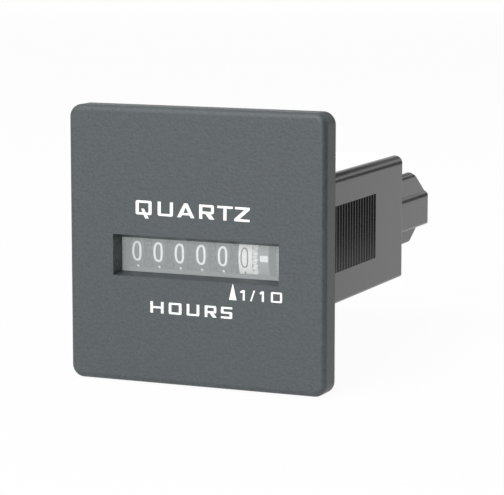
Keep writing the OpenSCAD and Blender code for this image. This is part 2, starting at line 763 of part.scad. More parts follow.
// Stator plate: pole block round the rotor and two arms that reach the ends of the coil's core
module stator_plate() {
    y = rotor_axis[0];
    z = rotor_axis[1];
    color("#9aa0a4") along_x(stator_x) linear_extrude(stator_t) difference() {
        polygon([
            [y - pole_len, pole_low], [arm_end_y, pole_low],
            [arm_end_y, pole_low + arm_w], [y, pole_low + arm_w],
            [y, z + slit / 2], [leg_y + arm_w, z + slit / 2],
            [leg_y + arm_w, arm_top - arm_w], [arm_end_y, arm_top - arm_w],
            [arm_end_y, arm_top], [leg_y, arm_top],
            [leg_y, pole_high], [y - pole_len, pole_high]
        ]);
        translate([y, z]) circle(rotor_hole_r);
        for (side = [45, 225]) translate([y, z]) rotate(side) translate([rotor_hole_r, 0]) circle(0.25);
        for (screw = screw_z) translate([coil_y, screw]) circle(screw_r + slot_clear);
    }
}

module coil_core() {
    color("#8d9296") along_x(core_x) linear_extrude(core_t) difference() {
        translate([coil_y - core_w / 2, pole_low]) square([core_w, arm_top - pole_low]);
        for (screw = screw_z) translate([coil_y, screw]) circle(screw_r + slot_clear);
    }
}

// Rectangle round the coil's core in plan, grown by this much on every side
module core_plan(grow) {
    translate([core_x + core_t / 2, coil_y])
        square([core_t + 2 * grow, core_w + 2 * grow], center = true);
}

module coil_bobbin() {
    flange_h = 0.7;
    color("#e8e4d8") difference() {
        union() {
            translate([0, 0, bobbin_low]) linear_extrude(bobbin_high - bobbin_low)
                core_plan(slot_clear + bobbin_t);
            for (z = [bobbin_low, bobbin_high - flange_h])
                translate([core_x + core_t / 2, coil_y, z]) linear_extrude(flange_h)
                    rounded_box_outline(2 * bobbin_half_x, 2 * bobbin_half_y, 1);
        }
        translate([0, 0, bobbin_low - 1]) linear_extrude(bobbin_high - bobbin_low + 2) core_plan(slot_clear);
    }
}

module coil_winding() {
    low = bobbin_low + 0.75;
    high = bobbin_high - 0.75;
    inner = slot_clear + bobbin_t + 0.01;
    w = core_t + 2 * (inner + winding_t);
    l = core_w + 2 * (inner + winding_t);
    color("#b5652b") translate([0, 0, low]) linear_extrude(high - low) difference() {
        translate([core_x + core_t / 2, coil_y]) rounded_box_outline(w, l, winding_t);
        core_plan(inner);
    }
}

// Two screws that hold the core and the stator on the frame's bosses
module stator_screws() {
    color("#c3c6c8") for (z = screw_z) along_x(core_x - screw_head_t, [coil_y, z]) difference() {
        union() {
            cylinder(h = screw_head_t, r = screw_head_r);
            cylinder(h = frame_outer - core_x + screw_head_t, r = screw_r);
        }
        translate([-0.2, -screw_head_r, -1]) cube([0.4, 2 * screw_head_r, 1.4]);
    }
}

// Circuit board: a narrow tongue beside the coil and a full-width strip under the terminals
module circuit_board() {
    color("#2f6b45") translate([0, 0, board_top - board_t]) linear_extrude(board_t) {
        translate([-board_half, board_front_y])
            square([board_half + board_right, board_rear_y - board_front_y]);
        translate([-board_half, board_step_y])
            square([2 * board_half, board_rear_y - board_step_y]);
    }
}

// Timer chip in a small-outline package: each lead is a foot on the board and a shank at the body
module timer_chip() {
    lead_rows = 4;
    lead_w = 0.08 * chip_w;
    foot = [lead_w, 0.2 * chip_d, 0.12 * chip_h];
    shank = [lead_w, 0.1 * chip_d, 0.6 * chip_h];
    color("#202122") translate([right_column, board_front_y + chip_row, board_top]) {
        translate([-chip_w / 2, -chip_d / 2, 2 * slot_clear]) cube([chip_w, chip_d, chip_h]);
        for (side = [0, 1], i = [0:lead_rows - 1]) mirror([0, side, 0])
            translate([((i + 0.5) / lead_rows - 0.5) * chip_w - lead_w / 2, chip_d / 2 - eps, 0]) {
                cube(foot);
                cube(shank);
            }
    }
}

// Component with a round body that lies along X on the board, on two formed leads
module axial_part(x, row, body_r, body_len) {
    z = body_r + slot_clear;
    span = body_len + 2 * lead_len;
    translate([x, board_front_y + row, board_top]) {
        translate([-body_len / 2, 0, z]) rotate([0, 90, 0]) cylinder(h = body_len, r = body_r);
        translate([-span / 2, 0, z]) rotate([0, 90, 0]) cylinder(h = span, r = lead_r);
        for (side = [-1, 1]) translate([side * (span / 2 - lead_r), 0, 0])
            cylinder(h = z + lead_r, r = lead_r);
    }
}

module quartz_crystal() {
    color("#cfd2d4") axial_part(-left_column, front_row, crystal_r, crystal_len);
}

module diode() {
    color("#26272a") axial_part(right_column, front_row, diode_r, diode_len);
}

module resistor() {
    color("#c9b48a") axial_part(-left_column, resistor_row, resistor_r, resistor_len);
}

// Smoothing capacitor lying on its side, its two leads on the board behind the can
module capacitor() {
    can_z = capacitor_r + slot_clear;
    color("#3b3f6b") translate([-left_column, board_front_y + capacitor_row, board_top]) {
        translate([0, 0, can_z]) rotate([-90, 0, 0]) cylinder(h = capacitor_len, r = capacitor_r);
        for (side = [-1, 1]) translate([side * capacitor_pitch / 2, capacitor_len - eps, 0]) {
            translate([0, 0, can_z]) rotate([-90, 0, 0]) cylinder(h = lead_len, r = lead_r);
            translate([0, lead_len - lead_r, 0]) cylinder(h = can_z + lead_r, r = lead_r);
        }
    }
}

// Flat blade terminal: a chamfered tab in the socket and a narrow tail soldered to the board
module terminal_blade(x) {
    tip_y = socket_floor_y + blade_len;
    shoulder_y = inner_rear_y - 1;
    hole_back = 3.4;
    chamfer = 1.2;
    color("#d3c28c") translate([x, 0, -blade_t / 2]) linear_extrude(blade_t) difference() {
        polygon([
            [-tail_w / 2, shoulder_y + 1 - tail_len], [tail_w / 2, shoulder_y + 1 - tail_len],
            [tail_w / 2, shoulder_y], [blade_w / 2, shoulder_y],
            [blade_w / 2, tip_y - chamfer], [blade_w / 2 - chamfer, tip_y],
            [-blade_w / 2 + chamfer, tip_y], [-blade_w / 2, tip_y - chamfer],
            [-blade_w / 2, shoulder_y], [-tail_w / 2, shoulder_y]
        ]);
        translate([0, tip_y - hole_back]) circle(0.9);
    }
}

module terminal_left() { terminal_blade(-socket_x); }

module terminal_right() { terminal_blade(socket_x); }

bezel();
lens();
case();
counter_frame();
wheel_shaft();
number_wheel(1);  // number_wheel_1
number_wheel(2);  // number_wheel_2
number_wheel(3);  // number_wheel_3
number_wheel(4);  // number_wheel_4
number_wheel(5);  // number_wheel_5
tenths_wheel();
run_indicator();
pinion_shaft();
carry_pinion(1);  // carry_pinion_1
carry_pinion(2);  // carry_pinion_2
carry_pinion(3);  // carry_pinion_3
carry_pinion(4);  // carry_pinion_4
carry_pinion(5);  // carry_pinion_5
drive_arbor();
drive_gear();
rotor_magnet();
rotor_pinion();
stator_plate();
coil_core();
coil_bobbin();
coil_winding();
stator_screws();
circuit_board();
timer_chip();
quartz_crystal();
capacitor();
diode();
resistor();
terminal_left();
terminal_right();
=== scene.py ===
"""Hour meter: the finishes, the printed marks and the studio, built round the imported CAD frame."""

import json
import math
import bpy
from bpy.props import FloatProperty, FloatVectorProperty, IntProperty, PointerProperty
from mathutils import Matrix, Vector


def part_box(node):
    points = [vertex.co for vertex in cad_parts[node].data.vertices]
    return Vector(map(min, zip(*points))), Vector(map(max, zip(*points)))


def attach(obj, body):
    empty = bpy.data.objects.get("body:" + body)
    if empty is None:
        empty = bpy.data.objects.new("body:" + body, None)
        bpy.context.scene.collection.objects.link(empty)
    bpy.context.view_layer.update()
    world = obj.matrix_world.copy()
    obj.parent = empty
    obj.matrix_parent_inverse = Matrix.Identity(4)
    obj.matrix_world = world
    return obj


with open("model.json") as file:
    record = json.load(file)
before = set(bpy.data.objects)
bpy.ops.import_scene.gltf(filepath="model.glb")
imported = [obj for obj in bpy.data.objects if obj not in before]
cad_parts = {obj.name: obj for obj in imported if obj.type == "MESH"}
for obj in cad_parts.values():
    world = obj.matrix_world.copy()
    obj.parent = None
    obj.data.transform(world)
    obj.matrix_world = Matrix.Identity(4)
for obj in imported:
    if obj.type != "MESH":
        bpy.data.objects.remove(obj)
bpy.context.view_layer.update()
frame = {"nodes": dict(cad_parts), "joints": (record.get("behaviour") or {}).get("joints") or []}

bl_info = {
    "name": "Hour meter",
    "version": (1, 0, 0),
    "blender": (4, 5, 0),
    "location": "View3D > Sidebar > Hour meter",
    "description": "Finishes, printed marks and studio for a panel-mounted hour meter",
    "category": "Object",
}

MM = 0.001
NODES = frame["nodes"]
JOINTS = {joint["name"]: joint for joint in frame["joints"]}
NUMBER_WHEELS = ("ten_thousands", "thousands", "hundreds", "tens", "ones")
AXLE = Vector(JOINTS["tenths_spin"]["pos_m"])
WHEEL_R = (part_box("number_wheel_1")[1].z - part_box("number_wheel_1")[0].z) / 2
FACE_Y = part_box("bezel")[0].y
FLOOR_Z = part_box("bezel")[0].z
DIGITS = 10
DIGIT_TURN = 2 * math.pi / DIGITS
# How far ink reaches into the surface that carries it, so that no gap shows
INK_SINK = 0.002 * MM


def linear(code):
    """Turns an sRGB hex code into the linear colour that Blender's sockets take."""
    parts = [int(code[i:i + 2], 16) / 255 for i in (1, 3, 5)]
    return tuple(c / 12.92 if c <= 0.04045 else ((c + 0.055) / 1.055) ** 2.4 for c in parts) + (1.0,)


def colour_prop(name, about, code):
    """A colour that can be set, given as an sRGB hex code."""
    return FloatVectorProperty(name=name, description=about, subtype="COLOR", size=4, min=0, max=1,
                               default=linear(code))


def length_prop(name, about, value_mm, low_mm=0.0, high_mm=1000.0):
    """A length that can be set, given in millimetres."""
    return FloatProperty(name=name, description=about, subtype="DISTANCE", unit="LENGTH", precision=5,
                         default=value_mm * MM, min=low_mm * MM, max=high_mm * MM)


class HourMeterColours(bpy.types.PropertyGroup):
    """Colours of the plastics and the inks."""
    bezel: colour_prop("Bezel", "Grained plastic of the bezel", "#3c4346")
    case: colour_prop("Body", "Polished plastic of the body and its shroud", "#1b1c1d")
    # The lens colour is also the colour of its painted glow
    lens: colour_prop("Lens", "Milky skin of the window's lens", "#b9bdbe")
    wheel: colour_prop("Number wheels", "Plastic of the number wheels", "#2c2e2f")
    tenths: colour_prop("Tenths wheel", "Plastic of the tenths wheel", "#f2f2ee")
    drum: colour_prop("Run indicator", "Plastic of the turning indicator", "#8b8e8f")
    drum_band: colour_prop("Indicator band", "Grey band round the turning indicator's rim", "#7c7f80")
    ink_white: colour_prop("White ink", "Ink of the words and the digits", "#fafafa")
    ink_black: colour_prop("Black ink", "Ink of the tenths digits", "#1a1b1c")


class HourMeterPrint(bpy.types.PropertyGroup):
    """Sizes of the printed marks."""
    title_h: length_prop("Upper word height", "Capital height of the word above the window", 2.45, 1, 5)
    title_z: length_prop("Upper word place", "Height of that word's middle", 6.55, -20, 20)
    title_x: length_prop("Upper word shift", "Shift of that word's middle to the right", -0.45, -20, 20)
    title_lean: FloatProperty(name="Upper word lean", description="Clockwise lean of that word on the face",
                              subtype="ANGLE", default=math.radians(0.7))
    unit_h: length_prop("Lower word height", "Capital height of the word below the window", 2.0, 1, 5)
    unit_z: length_prop("Lower word place", "Height of that word's middle", -10.55, -20, 20)
    unit_x: length_prop("Lower word shift", "Shift of that word's middle to the right", -0.72, -20, 20)
    unit_lean: FloatProperty(name="Lower word lean", description="Clockwise lean of that word on the face",
                             subtype="ANGLE", default=math.radians(0.25))
    part_h: length_prop("Tenths mark height", "Height of the figures beside the pointer", 1.78, 1, 5)
    part_z: length_prop("Tenths mark place", "Height of the middle of those figures", -7.35, -20, 20)
    part_x: length_prop("Tenths mark shift", "Shift of those figures' middle to the right", 12.34, -20, 20)
    pointer_h: length_prop("Pointer height", "Height of the pointer to the tenths wheel", 2.7, 1, 5)
    pointer_z: length_prop("Pointer place", "Height of the pointer's middle", -6.95, -20, 20)
    pointer_x: length_prop("Pointer shift", "Shift of the pointer's middle to the right", 7.1, -20, 20)
    ink_t: length_prop("Ink thickness", "How far the ink stands off the surface", 0.02, 0.005, 0.1)
    digit_h: length_prop("Digit height", "Height of a digit on a wheel", 3.55, 1, 5)
    digit_w: length_prop("Digit width", "Width of the widest digit on a wheel", 1.8, 0.5, 3)
    tenths_w: length_prop("Tenths digit width", "Width of the widest digit on the tenths wheel", 1.45, 0.5, 3)
    digit_x: length_prop("Digit shift", "Shift of a digit to the right of its rim's middle", -0.12, -1, 1)
    digit_stroke: FloatProperty(name="Digit stroke", description="Stroke of a drawn digit in digit heights",
                                default=0.115, min=0.02, max=0.2)
    tenths_stroke: FloatProperty(name="Tenths stroke", description="The same stroke on the tenths wheel",
                                 default=0.07, min=0.02, max=0.2)
    band_w: length_prop("Band width", "Width of the grey band at the run indicator's left edge", 2.05, 0.5, 5)
    bar_x: length_prop("Bar place", "From the run indicator's left edge to a bar's middle", 1.15, 0.5, 5)
    bar_w: length_prop("Bar width", "Width of a bar on the run indicator", 1.5, 0.5, 2)
    bar_h: length_prop("Bar height", "Height of a bar on the run indicator", 1.06, 0.3, 3)
    bar_r: length_prop("Bar corner", "Radius of a bar's corners", 0.15, 0.01, 0.3)
    bars: IntProperty(name="Bars", description="Number of bars round the run indicator",
                      default=6, min=1, max=12)


class HourMeterStudio(bpy.types.PropertyGroup):
    """Camera and light."""
    azimuth: FloatProperty(name="Azimuth", description="Camera's turn to the object's right", subtype="ANGLE",
                           default=math.radians(23.435))
    elevation: FloatProperty(name="Elevation", description="Camera's height above level", subtype="ANGLE",
                             default=math.radians(8.325))
    distance: length_prop("Distance", "From the camera to the middle of the dial", 413.83, 100, 5000)
    right: length_prop("Camera shift right", "Sideways step of the camera", 8.026, -100, 100)
    up: length_prop("Camera shift up", "Upward step of the camera", -0.286, -100, 100)
    lens: FloatProperty(name="Focal length", description="In millimetres on a 36 mm sensor",
                        default=171.74, min=10)
    sky: FloatProperty(name="Room light", description="Strength of the even light from all round",
                       default=0.45, min=0)
    key: FloatProperty(name="Key light", description="Power of the softbox in front of the dial",
                       subtype="POWER", default=6.3, min=0)
    top: FloatProperty(name="Top light", description="Power of the softbox above the dial",
                       subtype="POWER", default=7.0, min=0)
    back: FloatProperty(name="Back light", description="Power of the low softbox behind the body",
                        subtype="POWER", default=1.0, min=0)


class HourMeterProps(bpy.types.PropertyGroup):
    """Everything that can be set from the panel."""
    colours: PointerProperty(type=HourMeterColours)
    marks: PointerProperty(type=HourMeterPrint)
    studio: PointerProperty(type=HourMeterStudio)


def props():
    """What is set for this scene."""
    return bpy.context.scene.hour_meter


def set_node(tree, node, links=None, **settings):
    """Sets up a node: settings name its properties or inputs, links its inputs and what feeds each."""
    for name, value in settings.items():
        if hasattr(node, name):
            setattr(node, name, value)
        else:
            node.inputs[name.replace("_", " ")].default_value = value
    for name, source in (links or {}).items():
        tree.links.new(source, node.inputs[name])
    return node


def add_node(tree, kind, links=None, **settings):
    """Adds a node and sets it up."""
    return set_node(tree, tree.nodes.new(kind), links, **settings)


def new_material(name):
    """A new material, with its node tree and its shader."""
    material = bpy.data.materials.new(name)
    material.use_nodes = True
    return material, material.node_tree, material.node_tree.nodes["Principled BSDF"]


def moulded(name, colour, roughness, grain_mm, depth_mm, mottle=0.06, ior=1.5, gloss=0.5):
    """Moulded plastic: an even colour with faint mottling, and the grain that the mould's surface left."""
    material, tree, shader = new_material(name)
    place = add_node(tree, "ShaderNodeTexCoord").outputs["Object"]
    grain = add_node(tree, "ShaderNodeTexNoise", {"Vector": place}, Scale=1 / (grain_mm * MM), Detail=3.0,
                     Roughness=0.6)
    tint = add_node(tree, "ShaderNodeValToRGB", {"Fac": grain.outputs["Fac"]})
    low, high = tint.color_ramp.elements
    low.position, high.position = 0.3, 0.7
    low.color, high.color = [tuple(min(1.0, c * s) for c in colour[:3]) + (1.0,)
                             for s in (1 - mottle, 1 + mottle)]
    # Share by which the roughness varies over the grain
    spread = 0.15
    sheen = add_node(tree, "ShaderNodeMapRange", {"Value": grain.outputs["Fac"]},
                     To_Min=roughness * (1 - spread), To_Max=min(1.0, roughness * (1 + spread)))
    bump = add_node(tree, "ShaderNodeBump", {"Height": grain.outputs["Fac"]}, Distance=depth_mm * MM)
    set_node(tree, shader, {"Base Color": tint.outputs["Color"], "Roughness": sheen.outputs["Result"],
                            "Normal": bump.outputs["Normal"]}, IOR=ior, Specular_IOR_Level=gloss)
    return material


def banded_drum(colour, band, edge_x):
    """Pale acetal drum with a darker hot-stamped band round its rim, up to edge_x along the shaft."""
    material = moulded("Pale acetal with a stamped band", colour, 0.45, 0.6, 0.01, mottle=0.02)
    tree = material.node_tree
    shader = tree.nodes["Principled BSDF"]
    place = add_node(tree, "ShaderNodeTexCoord").outputs["Object"]
    parts = add_node(tree, "ShaderNodeSeparateXYZ", {"Vector": place})
    beyond = add_node(tree, "ShaderNodeMath", {0: parts.outputs["X"]}, operation="GREATER_THAN")
    beyond.inputs[1].default_value = edge_x
    plain = shader.inputs["Base Color"].links[0].from_socket
    # Sockets 6 and 7 of a mix of colours are its two colours, and socket 2 is its result
    mixed = add_node(tree, "ShaderNodeMix", {"Factor": beyond.outputs[0]}, data_type="RGBA")
    mixed.inputs[6].default_value = band
    tree.links.new(plain, mixed.inputs[7])
    set_node(tree, shader, {"Base Color": mixed.outputs[2]})
    return material


def metal(name, colour, roughness, line_mm, stretch=(1.0, 1.0, 1.0)):
    """Bare or plated metal with fine tool lines; stretch draws the lines out along an axis."""
    material, tree, shader = new_material(name)
    place = add_node(tree, "ShaderNodeTexCoord").outputs["Object"]
    turned = add_node(tree, "ShaderNodeMapping", {"Vector": place}, Scale=stretch)
    lines = add_node(tree, "ShaderNodeTexNoise", {"Vector": turned.outputs["Vector"]},
                     Scale=1 / (line_mm * MM), Detail=2.0)
    # Share by which the roughness varies across the lines
    spread = 0.3
    sheen = add_node(tree, "ShaderNodeMapRange", {"Value": lines.outputs["Fac"]},
                     To_Min=roughness * (1 - spread), To_Max=roughness * (1 + spread))
    dull = tuple(c * 0.82 for c in colour[:3]) + (1.0,)
    tint = add_node(tree, "ShaderNodeValToRGB", {"Fac": lines.outputs["Fac"]})
    low, high = tint.color_ramp.elements
    low.color, high.color = dull, colour
    bump = add_node(tree, "ShaderNodeBump", {"Height": lines.outputs["Fac"]}, Distance=0.004 * MM)
    set_node(tree, shader, {"Base Color": tint.outputs["Color"], "Roughness": sheen.outputs["Result"],
                            "Normal": bump.outputs["Normal"]}, Metallic=1.0)
    return material


def wound_copper():
    """Enamelled copper wire in close turns, with painted shade in the grooves between them. The 0.08 mm wire
    is drawn 0.4 mm coarse so that it shows.
    """
    drawn_wire = 0.3948 * MM
    # A wave texture of scale 1 has 20 radians to a unit of length
    wave_length = 2 * math.pi / 20
    material, tree, shader = new_material("Enamelled copper winding")
    place = add_node(tree, "ShaderNodeTexCoord").outputs["Object"]
    turns = add_node(tree, "ShaderNodeTexWave", {"Vector": place}, wave_type="BANDS", bands_direction="Z",
                     Scale=wave_length / drawn_wire, Distortion=0.4, Detail=1.0)
    # Painted shade: the colour darkens in each groove between turns, where the bump is low
    tint = add_node(tree, "ShaderNodeValToRGB", {"Fac": turns.outputs["Fac"]})
    low, high = tint.color_ramp.elements
    low.color, high.color = linear("#6b3312"), linear("#c8743a")
    bump = add_node(tree, "ShaderNodeBump", {"Height": turns.outputs["Fac"]}, Distance=0.05 * MM)
    set_node(tree, shader, {"Base Color": tint.outputs["Color"], "Normal": bump.outputs["Normal"]},
             Metallic=0.85, Roughness=0.32)
    return material


def frosted_acrylic(colour):
    """Acrylic moulded against a finely matt tool: a milky veil over what lies behind, and no mirror image.
    Part of the veil is a painted glow.
    """
    material, tree, shader = new_material("Frosted acrylic with painted glow")
    place = add_node(tree, "ShaderNodeTexCoord").outputs["Object"]
    skin = add_node(tree, "ShaderNodeTexNoise", {"Vector": place}, Scale=1 / (0.4 * MM), Detail=2.0)
    sheen = add_node(tree, "ShaderNodeMapRange", {"Value": skin.outputs["Fac"]}, To_Min=0.3, To_Max=0.42)
    bump = add_node(tree, "ShaderNodeBump", {"Height": skin.outputs["Fac"]}, Distance=0.001 * MM)
    # Painted glow: the emission lights the veil evenly, also where the recess shades the lens, though the
    # lens is no lamp
    set_node(tree, shader, {"Roughness": sheen.outputs["Result"], "Normal": bump.outputs["Normal"]},
             Base_Color=colour, IOR=1.49, Emission_Color=colour, Emission_Strength=1.2, Alpha=0.17)
    return material


def dress(material, *names):
    """Gives CAD nodes their finish."""
    for name in names:
        slots = NODES[name].material_slots
        if not slots:
            raise RuntimeError("no material slot on " + name)
        for slot in slots:
            slot.material = material


def deselect():
    """Leaves nothing selected."""
    bpy.ops.object.select_all(action="DESELECT")


def take(obj):
    """Makes this the one selected and active object."""
    deselect()
    obj.select_set(True)
    bpy.context.view_layer.objects.active = obj
    return obj


def own_copies(obj, count):
    """Copies of an object, each with its own mesh."""
    copies = [obj.copy() for _ in range(count)]
    for copy in copies:
        copy.data = obj.data.copy()
        bpy.context.scene.collection.objects.link(copy)
    return copies


def clean(obj):
    """Merges doubled points and turns all faces outwards."""
    take(obj)
    bpy.ops.object.mode_set(mode="EDIT")
    bpy.ops.mesh.select_all(action="SELECT")
    bpy.ops.mesh.remove_doubles(threshold=0.0005 * MM)
    bpy.ops.mesh.normals_make_consistent(inside=False)
    bpy.ops.object.mode_set(mode="OBJECT")


def arc(cx, cy, r, start, end, steps=5):
    """Points on an arc, angles in degrees."""
    turns = [math.radians(start + (end - start) * i / steps) for i in range(steps + 1)]
    return [(cx + r * math.cos(t), cy + r * math.sin(t)) for t in turns]


def soft_box(x0, y0, x1, y1, r):
    """Outline of a box with rounded corners."""
    return (arc(x0 + r, y0 + r, r, 180, 270) + arc(x1 - r, y0 + r, r, 270, 360)
            + arc(x1 - r, y1 - r, r, 0, 90) + arc(x0 + r, y1 - r, r, 90, 180))


def capital(letter, w, a, b):
    """Outlines of a wide, square-shouldered capital one unit tall: w its width, a its stems, b its bars."""
    # Radii of the outer and of the inner corners
    r, inner_r = 0.13, 0.03
    low, high = 0.5 - b / 2, 0.5 + b / 2
    if letter in "O0":
        return [soft_box(0, 0, w, 1, r), soft_box(a, b, w - a, 1 - b, inner_r)]
    if letter == "Q":
        outside = (arc(r, r, r, 180, 270) + [(0.5 * w, 0), (0.6 * w, -0.25), (0.83 * w, -0.25), (0.71 * w, 0)]
                   + arc(w - r, r, r, 270, 360) + arc(w - r, 1 - r, r, 0, 90) + arc(r, 1 - r, r, 90, 180))
        inside = [(a, b), (0.43 * w, b), (0.35 * w, 0.42), (0.53 * w, 0.42), (0.62 * w, b), (w - a, b),
                  (w - a, 1 - b), (a, 1 - b)]
        return [outside, inside]
    if letter == "U":
        return [arc(r, r, r, 180, 270) + arc(w - r, r, r, 270, 360)
                + [(w, 1), (w - a, 1), (w - a, b), (a, b), (a, 1), (0, 1)]]
    if letter == "A":
        return [[(0, 0), (0.21 * w, 0), (0.29 * w, 0.17), (0.71 * w, 0.17), (0.79 * w, 0), (w, 0),
                 (0.6 * w, 1), (0.4 * w, 1)], [(0.36 * w, 0.32), (0.64 * w, 0.32), (0.5 * w, 0.72)]]
    if letter == "R":
        foot = 0.36
        outside = ([(0, 0), (a, 0), (a, foot), (0.42 * w, foot), (0.7 * w, 0), (w + 0.04, 0),
                    (0.78 * w, foot)]
                   + arc(w - r, foot + r, r, 300, 360) + arc(w - r, 1 - r, r, 0, 90) + [(0, 1)])
        return [outside, soft_box(a, foot + b, w - 0.9 * a, 1 - b, inner_r)]
    if letter == "T":
        return [[(w / 2 - a / 2, 0), (w / 2 + a / 2, 0), (w / 2 + a / 2, 1 - b), (w, 1 - b), (w, 1), (0, 1),
                 (0, 1 - b), (w / 2 - a / 2, 1 - b)]]
    if letter == "Z":
        return [[(0, 0), (w, 0), (w, b), (0.34 * w, b), (w, 1 - b), (w, 1), (0.04 * w, 1), (0.04 * w, 1 - b),
                 (0.66 * w, 1 - b), (0, b)]]
    if letter == "H":
        return [[(0, 0), (a, 0), (a, low), (w - a, low), (w - a, 0), (w, 0), (w, 1), (w - a, 1),
                 (w - a, high), (a, high), (a, 1), (0, 1)]]
    if letter == "S":
        return [[(0, 0)] + arc(w - r, r, r, 270, 360) + arc(w - r, high - r, r, 0, 90)
                + [(a, high), (a, 1 - b), (w, 1 - b), (w, 1)] + arc(r, 1 - r, r, 90, 180)
                + arc(r, low + r, r, 180, 270) + [(w - a, low), (w - a, b), (0, b)]]
    if letter == "1":
        return [[(w - a, 0), (w, 0), (w, 1), (w - a, 1), (0, 0.86), (0, 0.68), (w - a, 0.76)]]
    if letter == "/":
        return [[(0, -0.02), (0.75 * a, -0.02), (w, 1.02), (w - 0.75 * a, 1.02)]]
    raise ValueError("no outline for " + letter)


def set_line(letters, stem, bar):
    """Outlines of a line of capitals; letters holds (letter, width, gap after it), all in capital heights."""
    loops, x = [], 0.0
    for letter, width, gap in letters:
        loops += [[(x + px, py) for px, py in loop] for loop in capital(letter, width, stem, bar)]
        x += width + gap
    middle = (x - letters[-1][2]) / 2
    return [[(px - middle, py - 0.5) for px, py in loop] for loop in loops]


def flat_outline(name, loops, scale, thickness):
    """Makes a thin flat solid from closed outlines; an outline inside another one is a hole."""
    curve = bpy.data.curves.new(name, "CURVE")
    curve.dimensions = "2D"
    curve.fill_mode = "BOTH"
    curve.extrude = thickness / 2
    for loop in loops:
        spline = curve.splines.new("POLY")
        spline.points.add(len(loop) - 1)
        for point, (px, py) in zip(spline.points, loop):
            point.co = (px * scale, py * scale, 0, 1)
        spline.use_cyclic_u = True
    obj = bpy.data.objects.new(name, curve)
    bpy.context.scene.collection.objects.link(obj)
    take(obj)
    bpy.ops.object.convert(target="MESH")
    return bpy.context.view_layer.objects.active


def ink_on_face(name, loops, height, x, z, thickness, material, lean=0.0):
    """Prints closed outlines on the bezel's face as a thin solid of ink; lean turns the line clockwise."""
    obj = flat_outline(name, loops, height, thickness)
    upright = Matrix.Rotation(lean, 4, "Y") @ Matrix.Rotation(math.pi / 2, 4, "X")
    obj.data.transform(Matrix.Translation((x, FACE_Y - thickness / 2 + INK_SINK, z)) @ upright)
    clean(obj)
    obj.data.materials.append(material)
    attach(obj, "housing")
    return obj


def wrap(obj, angle):
    """Bends a flat mark round the wheel shaft: its height runs round the rim, its thickness outwards."""
    for vertex in obj.data.vertices:
        r = WHEEL_R + vertex.co.z
        turn = angle + vertex.co.y / WHEEL_R
        vertex.co = (vertex.co.x, AXLE.y - r * math.cos(turn), AXLE.z + r * math.sin(turn))
    obj.data.update()


def cut_across(obj, height, pieces):
    """Cuts a flat mark into strips, so that it can bend round a rim."""
    take(obj)
    bpy.ops.object.mode_set(mode="EDIT")
    for i in range(1, pieces):
        bpy.ops.mesh.select_all(action="SELECT")
        bpy.ops.mesh.bisect(plane_co=(0, (i / pieces - 0.5) * height, 0), plane_no=(0, 1, 0))
    bpy.ops.mesh.select_all(action="DESELECT")
    bpy.ops.object.mode_set(mode="OBJECT")


def full_oval(half_w, half_h, steps=48, power=0.78):
    """Points round an oval with fuller shoulders than an ellipse."""
    turns = [2 * math.pi * i / steps for i in range(steps)]
    return [(half_w * math.copysign(abs(math.cos(t)) ** power, math.cos(t)),
             half_h * math.copysign(abs(math.sin(t)) ** power, math.sin(t))) for t in turns]


def narrow_zero(w, stroke):
    """Outlines of an upright oval zero one unit tall."""
    return [full_oval(w / 2, 0.5), full_oval(w / 2 - stroke, 0.5 - stroke)]


def plain_one(stroke):
    """Outline of a one, one unit tall: a bare stem."""
    return [[(-stroke / 2, -0.5), (stroke / 2, -0.5), (stroke / 2, 0.5), (-stroke / 2, 0.5)]]


def flat_digit(figure, full_w, stroke):
    """One digit as a thin flat solid centred on the origin, narrowed to fit its wheel."""
    marks = props().marks
    # Nought and one are drawn, and the other digits come from Blender's own font
    drawn = figure < 2
    if drawn:
        loops = plain_one(stroke) if figure else narrow_zero(full_w / marks.digit_h, stroke)
        obj = flat_outline("digit", loops, 1.0, 1.0)
    else:
        deselect()
        bpy.ops.object.text_add()
        text = bpy.context.view_layer.objects.active
        text.data.body = str(figure)
        text.data.extrude = 0.5
        text.data.resolution_u = 6
        bpy.ops.object.convert(target="MESH")
        obj = bpy.context.view_layer.objects.active
    clean(obj)
    low, high = [Vector([pick(v.co[i] for v in obj.data.vertices) for i in range(3)]) for pick in (min, max)]
    size = high - low
    width = marks.digit_h * size.x if drawn else full_w
    # Share of the ink's thickness that also reaches into the rim
    sunk = 0.2
    fit = Matrix.Diagonal((width / size.x, marks.digit_h / size.y, marks.ink_t * (1 + sunk) / size.z, 1))
    seat = Matrix.Translation((0, 0, marks.ink_t * (1 - sunk) / 2))
    obj.data.transform(seat @ fit @ Matrix.Translation(-(low + high) / 2))
    cut_across(obj, marks.digit_h, 10)
    return obj


def join(pieces, name, material):
    """Joins pieces into one of the given name and finish."""
    deselect()
    for piece in pieces:
        piece.select_set(True)
    bpy.context.view_layer.objects.active = pieces[0]
    bpy.ops.object.join()
    whole = bpy.context.view_layer.objects.active
    whole.name = whole.data.name = name
    whole.data.materials.clear()
    whole.data.materials.append(material)
    return whole


def digit_ring(name, full_w, stroke, material):
    """Ten digits round a wheel, in the plane x = 0, each next one below the last as it faces the window."""
    digits = [flat_digit(figure, full_w, stroke) for figure in range(DIGITS)]
    for figure, digit in enumerate(digits):
        wrap(digit, -DIGIT_TURN * figure)
    return join(digits, name, material)


def on_wheel(ring, place):
    """Puts a ring of digits on the wheel of this decimal place."""
    middle_x = JOINTS[place + "_spin"]["pos_m"][0] + props().marks.digit_x
    ring.data.transform(Matrix.Translation((middle_x, 0, 0)))
    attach(ring, place + "_group")


